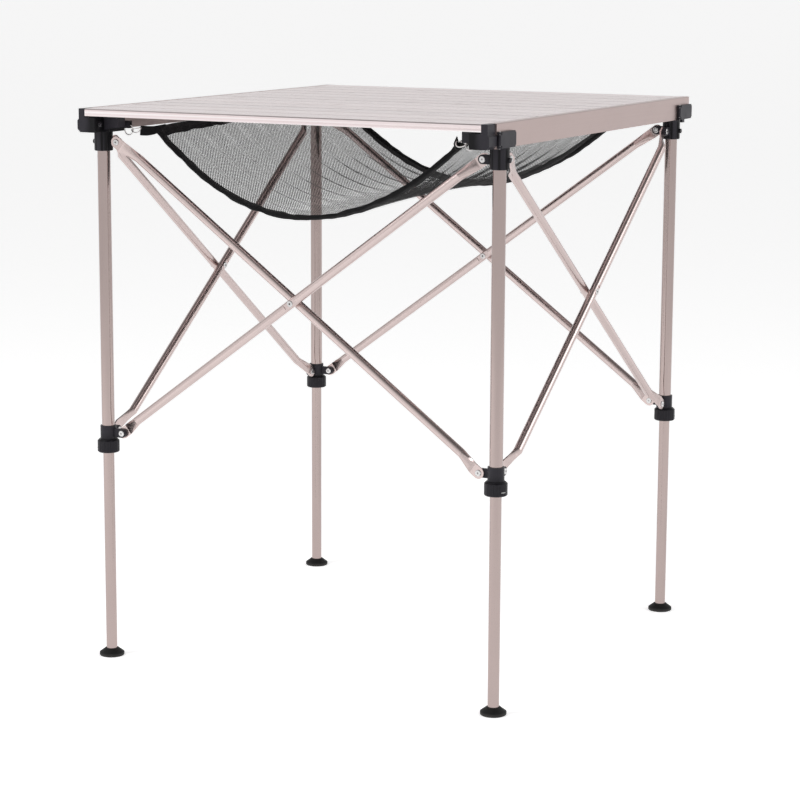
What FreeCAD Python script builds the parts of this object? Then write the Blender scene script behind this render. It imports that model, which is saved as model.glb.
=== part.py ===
"""Folding side table: a slatted roll-top on four telescopic legs, braced by a folding scissor frame.

The origin is on the floor under the middle of the top. +X runs along the slats, +Y runs along the
side rails from front to back, and +Z is up. All sizes are in millimetres.
"""
import FreeCAD, Part
import math
import os
import Sketcher

# Driving dimensions. Heights are measured from the floor with the table set up.
DRIVING = {
    "top_height": 700.0,
    "top_half_width": 277.0,
    "top_half_depth": 315.0,
    "leg_half_spacing": 270.0,
    # slats
    "slat_count": 12.0,
    "slat_gap": 0.8,
    "slat_thickness": 9.0,
    "slat_wall": 1.2,
    "slat_edge": 1.4,
    "slat_end_gap": 0.3,
    "groove_depth": 0.4,
    "groove_half_width": 0.7,
    "cord_diameter": 3.0,
    "cord_hole_diameter": 3.8,
    "cord_inset": 38.0,
    "cord_end_inset": 4.0,
    # side rails and their end caps
    "rail_width": 9.5,
    "rail_height": 28.9,
    "rail_wall": 1.6,
    "rail_edge": 0.9,
    "ledge_width": 4.5,
    "ledge_thickness": 4.5,
    "slat_seat_gap": 0.1,
    "cap_length": 21.0,
    "cap_inner_reach": 15.0,
    "cap_lower_height": 18.4,
    "cap_edge": 4.0,
    "cap_step": 2.0,
    "cap_proud": 0.6,
    "cap_gap": 0.1,
    "cap_boss_radius": 4.6,
    "cap_boss_height": 0.8,
    "cap_screw_radius": 2.6,
    "cap_screw_height": 1.0,
    # legs
    "upper_tube_diameter": 16.0,
    "lower_tube_diameter": 14.0,
    "tube_wall": 0.92,
    "running_gap": 0.08,
    "seat_gap": 0.02,
    "upper_tube_top": 670.4,
    "upper_tube_bottom": 289.0,
    "lower_tube_top": 560.0,
    "lower_tube_bottom": 5.1,
    "foot_diameter": 31.7,
    "foot_rim_height": 4.0,
    "foot_height": 9.5,
    "foot_neck_diameter": 19.0,
    "foot_socket_bottom": 5.0,
    "foot_bottom_edge": 0.8,
    # pivots and braces
    "pivot_offset": 21.0,
    "top_pivot_height": 657.0,
    "low_pivot_height": 291.0,
    "brace_diameter": 11.0,
    "brace_wall": 1.0,
    "brace_gap": 0.4,
    "tab_thickness": 2.2,
    "tab_width": 14.0,
    "tab_length": 9.0,
    "crimp_length": 24.0,
    "crossing_half_length": 14.0,
    "dent_depth": 1.0,
    "dent_half_length": 9.0,
    "ear_thickness": 4.0,
    "ear_half_height": 5.5,
    "ear_root": 9.2,
    "side_gap": 0.15,
    "rivet_radius": 2.0,
    "rivet_gap": 0.05,
    "rivet_hollow_radius": 1.1,
    "rivet_head_radius": 3.9,
    "rivet_head_height": 1.1,
    "rivet_head_edge": 0.5,
    # top brackets
    "sleeve_diameter": 23.0,
    "sleeve_height": 25.0,
    "sleeve_top": 671.0,
    "sleeve_edge": 0.8,
    "tube_stop_gap": 0.2,
    "arm_start": 7.3,
    "arm_length": 26.0,
    "arm_step": 24.0,
    "arm_half_width": 12.0,
    "arm_tip_half_width": 8.0,
    "arm_block_length": 36.8,
    "arm_block_near": 7.5,
    "arm_block_far": 23.5,
    "arm_top": 690.6,
    "arm_step_height": 676.5,
    "eyelet_length": 14.0,
    "eyelet_half_width": 3.2,
    "eyelet_top": 684.0,
    "eyelet_bottom": 674.8,
    "eyelet_slot_half_width": 1.3,
    "eyelet_slot_length": 9.7,
    "eyelet_slot_top": 681.0,
    "eyelet_bar_radius": 1.1,
    "eyelet_bar_inset": 2.5,
    "eyelet_bar_height": 676.6,
    "ring_radius": 6.0,
    "ring_wire_radius": 0.8,
    "ring_play": 0.1,
    "stud_radius": 3.0,
    "stud_length": 2.4,
    # lower hubs and twist locks
    "hub_diameter": 20.0,
    "hub_top": 300.0,
    "hub_shoulder": 288.0,
    "hub_bottom": 283.0,
    "neck_diameter": 19.0,
    "neck_bottom": 269.0,
    "collar_diameter": 27.6,
    "collar_top": 282.8,
    "collar_bottom": 266.0,
    "collar_lip": 2.4,
    "collar_edge": 2.2,
    "flute_radius": 1.5,
    "flute_depth": 0.6,
    "flute_stop": 3.0,
    # rail latches
    "latch_length": 41.0,
    "latch_thickness": 4.0,
    "latch_gap": 0.4,
    "latch_height": 19.0,
    "latch_corner": 3.0,
    "latch_tongue_start": 10.2,
    "latch_tongue_length": 8.0,
    "latch_tongue_drop": 4.0,
    "latch_pin_front": 21.0,
    "latch_pin_back": -4.0,
    "latch_pin_radius": 1.2,
    "latch_knuckle_radius": 2.0,
    "latch_knuckle_height": 3.0,
    "latch_knuckle_gap": 0.3,
    "latch_plate_thickness": 0.3,
    # mesh sling
    "sling_half_width": 212.0,
    "sling_half_depth": 262.0,
    "sling_edge_height": 678.0,
    "sling_sag": 104.0,
    "sling_thickness": 1.2,
}

GROOVES_PER_SLAT = 3
SLING_STEPS = 14
GRIP_COUNT = 12
FLUTE_COUNT = 8

# Each corner is (name, side along X, side along Y).
CORNERS = (
    ("front_left", -1, -1),
    ("front_right", 1, -1),
    ("back_right", 1, 1),
    ("back_left", -1, 1),
)

# Each face is (name, outward direction). Left and right are as seen from outside the table.
FACES = (
    ("front", (0, -1)),
    ("right", (1, 0)),
    ("back", (0, 1)),
    ("left", (-1, 0)),
)

document = FreeCAD.newDocument("folding_side_table")
sheet = document.addObject("Spreadsheet::Sheet", "Driving")
for row, (alias, amount) in enumerate(DRIVING.items(), start=1):
    sheet.set(f"A{row}", alias)
    sheet.set(f"B{row}", str(amount))
    sheet.setAlias(f"B{row}", alias)
document.recompute()


class Size:
    """A length together with the sheet expression that gives it."""

    def __init__(self, value, text):
        self.value = value
        self.text = text

    def __add__(self, other):
        other = as_size(other)
        return Size(self.value + other.value, f"({self.text} + {other.text})")

    def __sub__(self, other):
        other = as_size(other)
        return Size(self.value - other.value, f"({self.text} - {other.text})")

    def __mul__(self, factor):
        return Size(self.value * factor, f"({self.text} * {factor})")

    def __truediv__(self, factor):
        return Size(self.value / factor, f"({self.text} / {factor})")

    def __neg__(self):
        return self * -1


def as_size(amount):
    if isinstance(amount, Size):
        return amount
    return Size(float(amount), str(float(amount)))


def size(alias):
    """The driving dimension of that name, as a Size."""
    return Size(DRIVING[alias], f"Driving.{alias}")


ZERO = as_size(0)
NODES = []


def new_body(label):
    """An empty body that becomes one node of the table."""
    body = document.addObject("PartDesign::Body", label)
    body.Label = label
    body.AllowCompound = True
    NODES.append(body)
    return body


def place(thing, x, y, z=ZERO):
    """Binds the position of a body or primitive."""
    for axis, amount in (("x", x), ("y", y), ("z", z)):
        thing.setExpression(f"Placement.Base.{axis}", amount.text)


def new_sketch(body, role, offset=ZERO):
    """A sketch on one of the body's own planes, moved along that plane's normal."""
    plane = next(item for item in body.Origin.OriginFeatures if item.Role == role)
    sketch = body.newObject("Sketcher::SketchObject", f"{body.Name}_sketch")
    sketch.AttachmentSupport = [(plane, "")]
    sketch.MapMode = "FlatFace"
    sketch.AttachmentOffset = FreeCAD.Placement(FreeCAD.Vector(0, 0, offset.value), FreeCAD.Rotation())
    sketch.setExpression("AttachmentOffset.Base.z", offset.text)
    return sketch


def fix_point(sketch, geometry, point, u, v):
    """Ties a sketch point to its distances from the sketch's origin."""
    for kind, axis, amount in (("DistanceX", -2, u), ("DistanceY", -1, v)):
        if abs(amount.value) < 1e-9:
            sketch.addConstraint(Sketcher.Constraint("PointOnObject", geometry, point, axis))
        else:
            index = sketch.addConstraint(
                Sketcher.Constraint(kind, -1, 1, geometry, point, amount.value)
            )
            sketch.setExpression(f"Constraints[{index}]", amount.text)


def outline(sketch, corners):
    """Draws a closed polygon through the corners."""
    corners = [(as_size(u), as_size(v)) for u, v in corners]
    points = [FreeCAD.Vector(u.value, v.value, 0) for u, v in corners]
    first = sketch.GeometryCount
    count = len(points)
    sides = [Part.LineSegment(points[k], points[(k + 1) % count]) for k in range(count)]
    sketch.addGeometry(sides, False)
    joins = [
        Sketcher.Constraint("Coincident", first + k, 2, first + (k + 1) % count, 1)
        for k in range(count)
    ]
    sketch.addConstraint(joins)
    for k, (u, v) in enumerate(corners):
        fix_point(sketch, first + k, 1, u, v)


def rectangle(sketch, u_low, u_high, v_low, v_high):
    outline(sketch, ((u_low, v_low), (u_high, v_low), (u_high, v_high), (u_low, v_high)))


def circle(sketch, u, v, radius):
    u, v = as_size(u), as_size(v)
    centre = FreeCAD.Vector(u.value, v.value, 0)
    index = sketch.addGeometry(Part.Circle(centre, FreeCAD.Vector(0, 0, 1), radius.value), False)
    fix_point(sketch, index, 3, u, v)
    constraint = sketch.addConstraint(Sketcher.Constraint("Radius", index, radius.value))
    sketch.setExpression(f"Constraints[{constraint}]", radius.text)


def pad(body, sketch, length):
    feature = body.newObject("PartDesign::Pad", f"{body.Name}_pad")
    feature.Profile = sketch
    feature.setExpression("Length", length.text)
    return feature


def pocket(body, sketch, length=None, forwards=False):
    """Cuts against the sketch's normal, or along it if forwards; without a length, right through."""
    feature = body.newObject("PartDesign::Pocket", f"{body.Name}_pocket")
    feature.Profile = sketch
    feature.Reversed = forwards
    if length is None:
        feature.Type = "ThroughAll"
    else:
        feature.setExpression("Length", length.text)
    return feature


def revolve(body, sketch, axis="V_Axis"):
    feature = body.newObject("PartDesign::Revolution", f"{body.Name}_turned")
    feature.Profile = sketch
    feature.ReferenceAxis = (sketch, [axis])
    feature.Angle = 360.0
    return feature


def turned(body, profile):
    """Turns a (radius, height) profile about the body's Z axis."""
    sketch = new_sketch(body, "XZ_Plane")
    outline(sketch, profile)
    revolve(body, sketch)


def spread(body, role, half_thickness, draw):
    """Pads what draw() sketches to the same distance either side of one of the body's planes."""
    sketch = new_sketch(body, role, -half_thickness)
    draw(sketch)
    pad(body, sketch, half_thickness * 2)


def corner_body(label, side_x, side_y):
    """A body whose origin is on the floor under one leg."""
    body = new_body(label)
    place(body, size("leg_half_spacing") * side_x, size("leg_half_spacing") * side_y)
    return body


def tube(body, diameter, bottom, top):
    """A straight tube about the body's Z axis."""
    outer = diameter / 2
    inner = outer - size("tube_wall")
    turned(body, ((inner, bottom), (outer, bottom), (outer, top), (inner, top)))


def flutes(body, outer, bottom, length, count):
    """Shallow upright grooves all round a turned part."""
    sketch = new_sketch(body, "XY_Plane", bottom)
    reach = outer + size("flute_radius") - size("flute_depth")
    for k in range(count):
        turn = 2 * math.pi * (k + 0.5) / count
        circle(sketch, reach * math.cos(turn), reach * math.sin(turn), size("flute_radius"))
    pocket(body, sketch, length, forwards=True)


def ears(body, side_x, side_y, pivot_height):
    """Two ears with rivet holes, one towards each neighbouring leg."""
    offset = size("pivot_offset")
    root = size("ear_root")
    half_height = size("ear_half_height")
    half_thickness = size("ear_thickness") / 2
    hole = size("rivet_radius") + size("seat_gap")
    for role, inward in (("XZ_Plane", -side_x), ("YZ_Plane", -side_y)):
        low, high = sorted((root * inward, offset * inward), key=lambda end: end.value)

        def draw_web(sketch, low=low, high=high):
            rectangle(sketch, low, high, pivot_height - half_height, pivot_height + half_height)

        def draw_end(sketch, inward=inward):
            circle(sketch, offset * inward, pivot_height, half_height)

        spread(body, role, half_thickness, draw_web)
        spread(body, role, half_thickness, draw_end)
        drilling = new_sketch(body, role, half_thickness * 3)
        circle(drilling, offset * inward, pivot_height, hole)
        pocket(body, drilling, half_thickness * 6)


def rivet_profile(low, high):
    """(radius, height) outline of a tubular rivet whose heads sit on low and high."""
    hollow = size("rivet_hollow_radius")
    shank = size("rivet_radius")
    head = size("rivet_head_radius")
    height = size("rivet_head_height")
    edge = size("rivet_head_edge")
    return (
        (hollow, low - height),
        (head - edge, low - height),
        (head, low - height + edge),
        (head, low),
        (shank, low),
        (shank, high),
        (head, high),
        (head, high + height - edge),
        (head - edge, high + height),
        (hollow, high + height),
    )


def rivets(label, side_x, side_y, pivot_height):
    """The two pivot rivets of one bracket or hub, each through an ear and one brace tab."""
    body = corner_body(label, side_x, side_y)
    offset = size("pivot_offset")
    ear = size("ear_thickness") / 2 + size("side_gap") / 2
    tab = size("ear_thickness") / 2 + size("side_gap") * 2 + size("tab_thickness")
    top_rivet = pivot_height.value > DRIVING["low_pivot_height"]
    for along_x in (True, False):
        outward = side_y if along_x else side_x
        tab_outside = tab_is_outside(side_x, side_y, along_x, top_rivet)
        to_tab = outward if tab_outside else -outward
        low, high = (-ear, tab) if to_tab > 0 else (-tab, ear)
        centre = offset * (-side_x if along_x else -side_y)
        sketch = new_sketch(body, "XY_Plane", pivot_height)
        profile = rivet_profile(low, high)
        if along_x:
            outline(sketch, [(centre + radius, along) for radius, along in profile])
            line = Part.LineSegment(
                FreeCAD.Vector(centre.value, low.value, 0), FreeCAD.Vector(centre.value, high.value, 0)
            )
            tie = "Vertical"
        else:
            outline(sketch, [(along, centre + radius) for radius, along in profile])
            line = Part.LineSegment(
                FreeCAD.Vector(low.value, centre.value, 0), FreeCAD.Vector(high.value, centre.value, 0)
            )
            tie = "Horizontal"
        axis = sketch.addGeometry(line, True)
        sketch.addConstraint(Sketcher.Constraint(tie, axis))
        if along_x:
            fix_point(sketch, axis, 1, centre, low)
        else:
            fix_point(sketch, axis, 1, low, centre)
        revolve(body, sketch, "Axis0")


def tab_is_outside(side_x, side_y, along_x, at_top):
    """The brace that rises to a face's left leg has its tabs outside the ears, the other one inside."""
    outward = (0, side_y) if along_x else (side_x, 0)
    rightward = (-outward[1], outward[0])
    on_right = side_x * rightward[0] + side_y * rightward[1] > 0
    return on_right != at_top


def upper_tube(name, side_x, side_y):
    body = corner_body(f"upper_tube_{name}", side_x, side_y)
    tube(body, size("upper_tube_diameter"), size("upper_tube_bottom"), size("upper_tube_top"))


def lower_tube(name, side_x, side_y):
    body = corner_body(f"lower_tube_{name}", side_x, side_y)
    tube(body, size("lower_tube_diameter"), size("lower_tube_bottom"), size("lower_tube_top"))


def foot(name, side_x, side_y):
    body = corner_body(f"foot_{name}", side_x, side_y)
    rim = size("foot_diameter") / 2
    neck = size("foot_neck_diameter") / 2
    socket = size("lower_tube_diameter") / 2 + size("seat_gap")
    edge = size("foot_bottom_edge")
    turned(
        body,
        (
            (ZERO, ZERO),
            (rim - edge, ZERO),
            (rim, edge),
            (rim, size("foot_rim_height")),
            (neck, size("foot_height") - edge),
            (neck - edge, size("foot_height")),
            (socket, size("foot_height")),
            (socket, size("foot_socket_bottom")),
            (ZERO, size("foot_socket_bottom")),
        ),
    )


def top_bracket(name, side_x, side_y):
    """Sleeve on the upper tube, two ears, an arm under the slats and a small side stud."""
    body = corner_body(f"top_bracket_{name}", side_x, side_y)
    outer = size("sleeve_diameter") / 2
    bore = size("upper_tube_diameter") / 2 + size("seat_gap")
    top = size("sleeve_top")
    bottom = top - size("sleeve_height")
    stop = size("upper_tube_top") + size("tube_stop_gap")
    edge = size("sleeve_edge")
    turned(
        body,
        (
            (bore, bottom),
            (outer - edge, bottom),
            (outer, bottom + edge),
            (outer, top),
            (ZERO, top),
            (ZERO, stop),
            (bore, stop),
        ),
    )
    flutes(body, outer, bottom, size("sleeve_height") - size("flute_stop"), FLUTE_COUNT)

    inward = -side_x
    seat = top - size("tube_stop_gap")
    start = size("arm_start") * inward
    step = size("arm_step") * inward
    tip = size("arm_length") * inward

    def draw_arm(sketch, tip=tip):
        outline(
            sketch,
            (
                (start, seat),
                (step, seat),
                (step, size("arm_step_height")),
                (tip, size("arm_step_height")),
                (tip, size("arm_top")),
                (start, size("arm_top")),
            ),
        )

    spread(body, "XZ_Plane", size("arm_tip_half_width"), draw_arm)
    near, far = size("arm_block_near"), size("arm_block_far")
    block = new_sketch(body, "XZ_Plane", near if side_y < 0 else -far)
    draw_arm(block, size("arm_block_length") * inward)
    pad(body, block, far - near)

    def draw_shoulder(sketch):
        low, high = sorted((start, step), key=lambda end: end.value)
        rectangle(sketch, low, high, seat, size("arm_step_height"))

    spread(body, "XZ_Plane", size("arm_half_width"), draw_shoulder)
    eyelet(body, inward)
    ears(body, side_x, side_y, size("top_pivot_height"))

    stud = new_sketch(body, "YZ_Plane", (outer - edge) * side_x)
    circle(stud, ZERO, size("top_pivot_height"), size("stud_radius"))
    boss = pad(body, stud, size("stud_length") + edge)
    boss.Reversed = side_x < 0


def eyelet_bar():
    """Distance of the eyelet's cross bar from the leg."""
    return size("arm_length") + size("eyelet_length") - size("eyelet_bar_inset")


def eyelet(body, inward):
    """Forked tip of the arm with a cross bar for the sling's ring."""
    root = size("arm_length") - size("sleeve_edge")
    tip = size("arm_length") + size("eyelet_length")
    low, high = sorted((root * inward, tip * inward), key=lambda end: end.value)
    spread(
        body,
        "XZ_Plane",
        size("eyelet_half_width"),
        lambda sketch: rectangle(sketch, low, high, size("eyelet_bottom"), size("eyelet_top")),
    )
    slot_root = tip - size("eyelet_slot_length")
    clear = tip + size("sleeve_edge")
    low, high = sorted((slot_root * inward, clear * inward), key=lambda end: end.value)
    half_slot = size("eyelet_slot_half_width")
    slot = new_sketch(body, "XZ_Plane", half_slot)
    rectangle(slot, low, high, size("eyelet_bottom") - size("sleeve_edge"), size("eyelet_slot_top"))
    pocket(body, slot, half_slot * 2)
    spread(
        body,
        "XZ_Plane",
        size("eyelet_half_width"),
        lambda sketch: circle(
            sketch, eyelet_bar() * inward, size("eyelet_bar_height"), size("eyelet_bar_radius")
        ),
    )


def sling_ring(name, side_x, side_y):
    """Wire ring that hangs from a bracket's eyelet bar."""
    ring = document.addObject("Part::Torus", f"sling_ring_{name}")
    ring.Label = f"sling_ring_{name}"
    ring.setExpression("Radius1", "Driving.ring_radius")
    ring.setExpression("Radius2", "Driving.ring_wire_radius")
    upright = FreeCAD.Rotation(FreeCAD.Vector(1, 0, 0), 90)
    ring.Placement = FreeCAD.Placement(FreeCAD.Vector(0, 0, 0), upright)
    drop = size("ring_radius") - size("ring_wire_radius") - size("eyelet_bar_radius") - size("ring_play")
    place(
        ring,
        (size("leg_half_spacing") - eyelet_bar()) * side_x,
        size("leg_half_spacing") * side_y,
        size("eyelet_bar_height") - drop,
    )
    NODES.append(ring)


def lower_hub(name, side_x, side_y):
    """Hub between upper and lower tube: two ears and the neck that the twist lock turns on."""
    body = corner_body(f"lower_hub_{name}", side_x, side_y)
    upper_bore = size("upper_tube_diameter") / 2 + size("running_gap")
    lower_bore = size("lower_tube_diameter") / 2 + size("running_gap")
    outer = size("hub_diameter") / 2
    neck = size("neck_diameter") / 2
    turned(
        body,
        (
            (upper_bore, size("hub_top")),
            (outer, size("hub_top")),
            (outer, size("hub_bottom")),
            (neck, size("hub_bottom")),
            (neck, size("neck_bottom")),
            (lower_bore, size("neck_bottom")),
            (lower_bore, size("hub_shoulder")),
            (upper_bore, size("hub_shoulder")),
        ),
    )
    ears(body, side_x, side_y, size("low_pivot_height"))


def lock_collar(name, side_x, side_y):
    """Twist-lock ring round the hub's neck, with finger grips and a lip under the neck."""
    body = corner_body(f"lock_collar_{name}", side_x, side_y)
    outer = size("collar_diameter") / 2
    bore = size("neck_diameter") / 2 + size("running_gap")
    lip_bore = size("lower_tube_diameter") / 2 + size("running_gap")
    bottom = size("collar_bottom")
    top = size("collar_top")
    edge = size("collar_edge")
    turned(
        body,
        (
            (lip_bore, bottom),
            (outer - edge / 2, bottom),
            (outer, bottom + edge / 2),
            (outer, top - edge),
            (outer - edge, top),
            (bore, top),
            (bore, bottom + size("collar_lip")),
            (lip_bore, bottom + size("collar_lip")),
        ),
    )
    flutes(body, outer, bottom, top - bottom, GRIP_COUNT)


BRACE_HALF_RUN = size("leg_half_spacing") - size("pivot_offset")
BRACE_HALF_RISE = (size("top_pivot_height") - size("low_pivot_height")) / 2
BRACE_ANGLE = math.atan2(BRACE_HALF_RISE.value, BRACE_HALF_RUN.value)
BRACE_HALF = Size(
    math.hypot(BRACE_HALF_RUN.value, BRACE_HALF_RISE.value),
    f"sqrt(pow({BRACE_HALF_RUN.text}; 2) + pow({BRACE_HALF_RISE.text}; 2))",
)


def brace_placement(body, outward, rises_left):
    """Stands a brace's own frame in its face: X up the brace, Z out of the face."""
    out = FreeCAD.Vector(outward[0], outward[1], 0)
    up = FreeCAD.Vector(0, 0, 1)
    across = up.cross(out)
    if rises_left:
        across = across * -1
    along = across * math.cos(BRACE_ANGLE) + up * math.sin(BRACE_ANGLE)
    turn = FreeCAD.Rotation(along, out.cross(along), out, "XZY")
    body.Placement = FreeCAD.Placement(FreeCAD.Vector(0, 0, 0), turn)
    middle = (size("top_pivot_height") + size("low_pivot_height")) / 2
    place(body, size("leg_half_spacing") * outward[0], size("leg_half_spacing") * outward[1], middle)


def brace(name, outward, rises_left):
    """One scissor brace: a round tube crushed flat at both ends and riveted at the middle.

    The brace that rises to the left has its end tabs outside the ears and its tube inside the
    face at the crossing. The brace that rises to the right is the other way round.
    """
    body = new_body(name)
    side = 1 if rises_left else -1
    radius = size("brace_diameter") / 2
    tube_height = (radius + size("brace_gap") / 2) * -side
    half_tab = size("tab_thickness") / 2
    tab_height = (size("ear_thickness") / 2 + size("side_gap") + half_tab) * side
    tab_start = BRACE_HALF - size("tab_length")
    tube_end = tab_start - size("crimp_length")
    half_width = size("tab_width") / 2

    barrel = new_sketch(body, "YZ_Plane", -tube_end)
    circle(barrel, ZERO, tube_height, radius)
    pad(body, barrel, tube_end * 2)
    for end in (1, -1):
        bore = new_sketch(body, "YZ_Plane", tube_end * end)
        circle(bore, ZERO, tube_height, radius - size("brace_wall"))
        pocket(body, bore, tube_end - size("crossing_half_length"), forwards=end < 0)
    for end in (1, -1):
        root = new_sketch(body, "YZ_Plane", tube_end * end)
        circle(root, ZERO, tube_height, radius)
        flat = new_sketch(body, "YZ_Plane", tab_start * end)
        rectangle(flat, -half_width, half_width, tab_height - half_tab, tab_height + half_tab)
        crimp = body.newObject("PartDesign::AdditiveLoft", f"{name}_crimp")
        crimp.Profile = root
        crimp.Sections = [flat]
    tabs = new_sketch(body, "XY_Plane", tab_height - half_tab)
    for low, high in ((tab_start, BRACE_HALF), (-BRACE_HALF, -tab_start)):
        rectangle(tabs, low, high, -half_width, half_width)
    pad(body, tabs, half_tab * 2)
    ends = new_sketch(body, "XY_Plane", tab_height - half_tab)
    for end in (1, -1):
        circle(ends, BRACE_HALF * end, ZERO, half_width)
    pad(body, ends, half_tab * 2)

    dent = new_sketch(body, "XY_Plane", (size("brace_gap") / 2 + radius * 2 - size("dent_depth")) * -side)
    reach = size("dent_half_length")
    rectangle(dent, -reach, reach, -radius, radius)
    pocket(body, dent, radius, forwards=side < 0)
    holes = new_sketch(body, "XY_Plane", size("brace_diameter") * 2)
    for middle in (-BRACE_HALF, ZERO, BRACE_HALF):
        circle(holes, middle, ZERO, size("rivet_radius") + size("rivet_gap"))
    pocket(body, holes)
    brace_placement(body, outward, rises_left)


def crossing_rivet(name, outward):
    body = new_body(name)
    seat = size("brace_gap") / 2 + size("brace_diameter") - size("dent_depth") + size("seat_gap")
    turned(body, rivet_profile(-seat, seat))
    brace_placement(body, outward, True)


def slats():
    """All the slats: one hollow slat, repeated, drilled for two cords between its outermost walls."""
    body = new_body("slats")
    count = int(DRIVING["slat_count"])
    pitch = size("top_half_depth") * 2 / count
    half_width = (pitch - size("slat_gap")) / 2
    half_length = size("top_half_width") - size("rail_width") - size("slat_end_gap")
    top = size("top_height")
    bottom = top - size("slat_thickness")
    edge = size("slat_edge")
    middle = pitch / 2 - size("top_half_depth")
    depth = size("groove_depth")
    groove = size("groove_half_width")
    wall = size("slat_wall")

    surface = []
    for k in range(GROOVES_PER_SLAT):
        centre = middle + half_width * (2 * (k + 1) / (GROOVES_PER_SLAT + 1) - 1)
        surface += [(centre - groove, top), (centre, top - depth), (centre + groove, top)]
    profile = new_sketch(body, "YZ_Plane", -half_length)
    outline(
        profile,
        [(middle - half_width, top - edge), (middle - half_width + edge, top)]
        + surface
        + [
            (middle + half_width - edge, top),
            (middle + half_width, top - edge),
            (middle + half_width, bottom),
            (middle - half_width, bottom),
        ],
    )
    inner_top = top - depth - wall
    for low, high in (
        (middle - half_width + wall * 1.5, middle - wall / 2),
        (middle + wall / 2, middle + half_width - wall * 1.5),
    ):
        rectangle(profile, low, high, bottom + wall, inner_top)
    first = pad(body, profile, half_length * 2)
    document.recompute()
    row = body.newObject("PartDesign::LinearPattern", "slat_row")
    row.Originals = [first]
    row.Direction = (profile, ["H_Axis"])
    row.setExpression("Length", (pitch * (count - 1)).text)
    row.Occurrences = count
    body.Tip = row

    reach = size("top_half_depth") - wall * 2
    drilling = new_sketch(body, "XZ_Plane", reach)
    for end in (1, -1):
        circle(drilling, cord_place() * end, cord_height(), size("cord_hole_diameter") / 2)
    pocket(body, drilling, reach * 2)


def cord_place():
    """Distance of each slat cord from the middle of the table."""
    return size("top_half_width") - size("cord_inset")


def cord_height():
    return size("top_height") - size("slat_thickness") / 2


def slat_cords():
    """Two elastic cords that string the slats together."""
    body = new_body("slat_cords")
    half_length = size("top_half_depth") - size("cord_end_inset")
    sketch = new_sketch(body, "XZ_Plane", -half_length)
    for end in (1, -1):
        circle(sketch, cord_place() * end, cord_height(), size("cord_diameter") / 2)
    pad(body, sketch, half_length * 2)


def rail_bottom():
    return size("top_height") - size("rail_height")


def side_rails():
    """Hollow rails under and beside the slat ends, each with a ledge that the slats lie on."""
    body = new_body("side_rails")
    outer = size("top_half_width")
    inner = outer - size("rail_width")
    ledge = inner - size("ledge_width")
    ledge_top = size("top_height") - size("slat_thickness") - size("slat_seat_gap")
    wall = size("rail_wall")
    edge = size("rail_edge")
    top = size("top_height")
    front = size("top_half_depth") - size("cap_length") - size("cap_gap")
    sketch = new_sketch(body, "XZ_Plane", -size("top_half_depth"))
    for side in (1, -1):
        outline(
            sketch,
            (
                (outer * side, rail_bottom()),
                (outer * side, top - edge),
                ((outer - edge) * side, top),
                (inner * side, top),
                (inner * side, ledge_top),
                (ledge * side, ledge_top),
                (ledge * side, ledge_top - size("ledge_thickness")),
                (inner * side, ledge_top - size("ledge_thickness")),
                (inner * side, rail_bottom()),
            ),
        )
        low, high = sorted(((outer - wall) * side, (inner + wall) * side), key=lambda end: end.value)
        rectangle(sketch, low, high, rail_bottom() + wall, top - wall)
    pad(body, sketch, size("top_half_depth") + front)


def cap_reach():
    """Distance of the caps' inner faces from the middle of the table."""
    return size("top_half_width") - size("rail_width") - size("cap_inner_reach")


def cap_screw_place():
    """Distance back from the middle of the table and height of the cap screws."""
    middle = size("top_half_depth") - size("cap_length") / 2
    return -middle, rail_bottom() + size("cap_lower_height") / 2


def rail_end_caps():
    """Moulded caps on the front ends of both rails: a fat lobe below the slats, slimmer beside them."""
    body = new_body("rail_end_caps")
    front = size("top_half_depth")
    back = front - size("cap_length")
    top = size("top_height")
    outer = size("top_half_width") + size("cap_proud")
    upper = outer - size("cap_step")
    inner = size("top_half_width") - size("rail_width")
    shoulder = rail_bottom() + size("cap_lower_height")
    edge = size("cap_edge")
    sketch = new_sketch(body, "XZ_Plane", back)
    for side in (1, -1):
        outline(
            sketch,
            (
                ((outer - edge) * side, rail_bottom()),
                (outer * side, rail_bottom() + edge),
                (outer * side, shoulder - edge),
                (upper * side, shoulder - edge / 2),
                (upper * side, top),
                (inner * side, top),
                (inner * side, shoulder),
                (cap_reach() * side, shoulder),
                (cap_reach() * side, rail_bottom()),
            ),
        )
    pad(body, sketch, front - back)
    round_seats(body, cap_reach(), size("cap_boss_radius"), size("cap_boss_height"))


def round_seats(body, reach, radius, height):
    """A round pad on the inner face of each cap, standing out towards the middle of the table."""
    for side in (1, -1):
        sketch = new_sketch(body, "YZ_Plane", reach * side)
        circle(sketch, *cap_screw_place(), radius)
        boss = pad(body, sketch, height)
        boss.Reversed = side > 0


def end_cap_screws():
    """Round-headed screw in the inner face of each end cap."""
    body = new_body("end_cap_screws")
    seat = cap_reach() - size("cap_boss_height")
    round_seats(body, seat, size("cap_screw_radius"), size("cap_screw_height"))


def latch_pin_y(side_y):
    """Where a latch's pin stands along the rail."""
    offset = size("latch_pin_front") if side_y < 0 else size("latch_pin_back")
    return size("leg_half_spacing") * side_y - offset


def latch_pin_x(side_x):
    reach = size("latch_gap") + size("latch_knuckle_radius")
    return (size("top_half_width") + reach) * side_x


def latch_levels():
    """Bottom of the lower knuckle, of the flap and its top, and the top of the upper knuckle."""
    knuckle = size("latch_knuckle_height")
    bottom = rail_bottom() + size("latch_knuckle_gap")
    top = bottom + size("latch_height")
    return bottom, bottom + knuckle, top - knuckle, top


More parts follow.
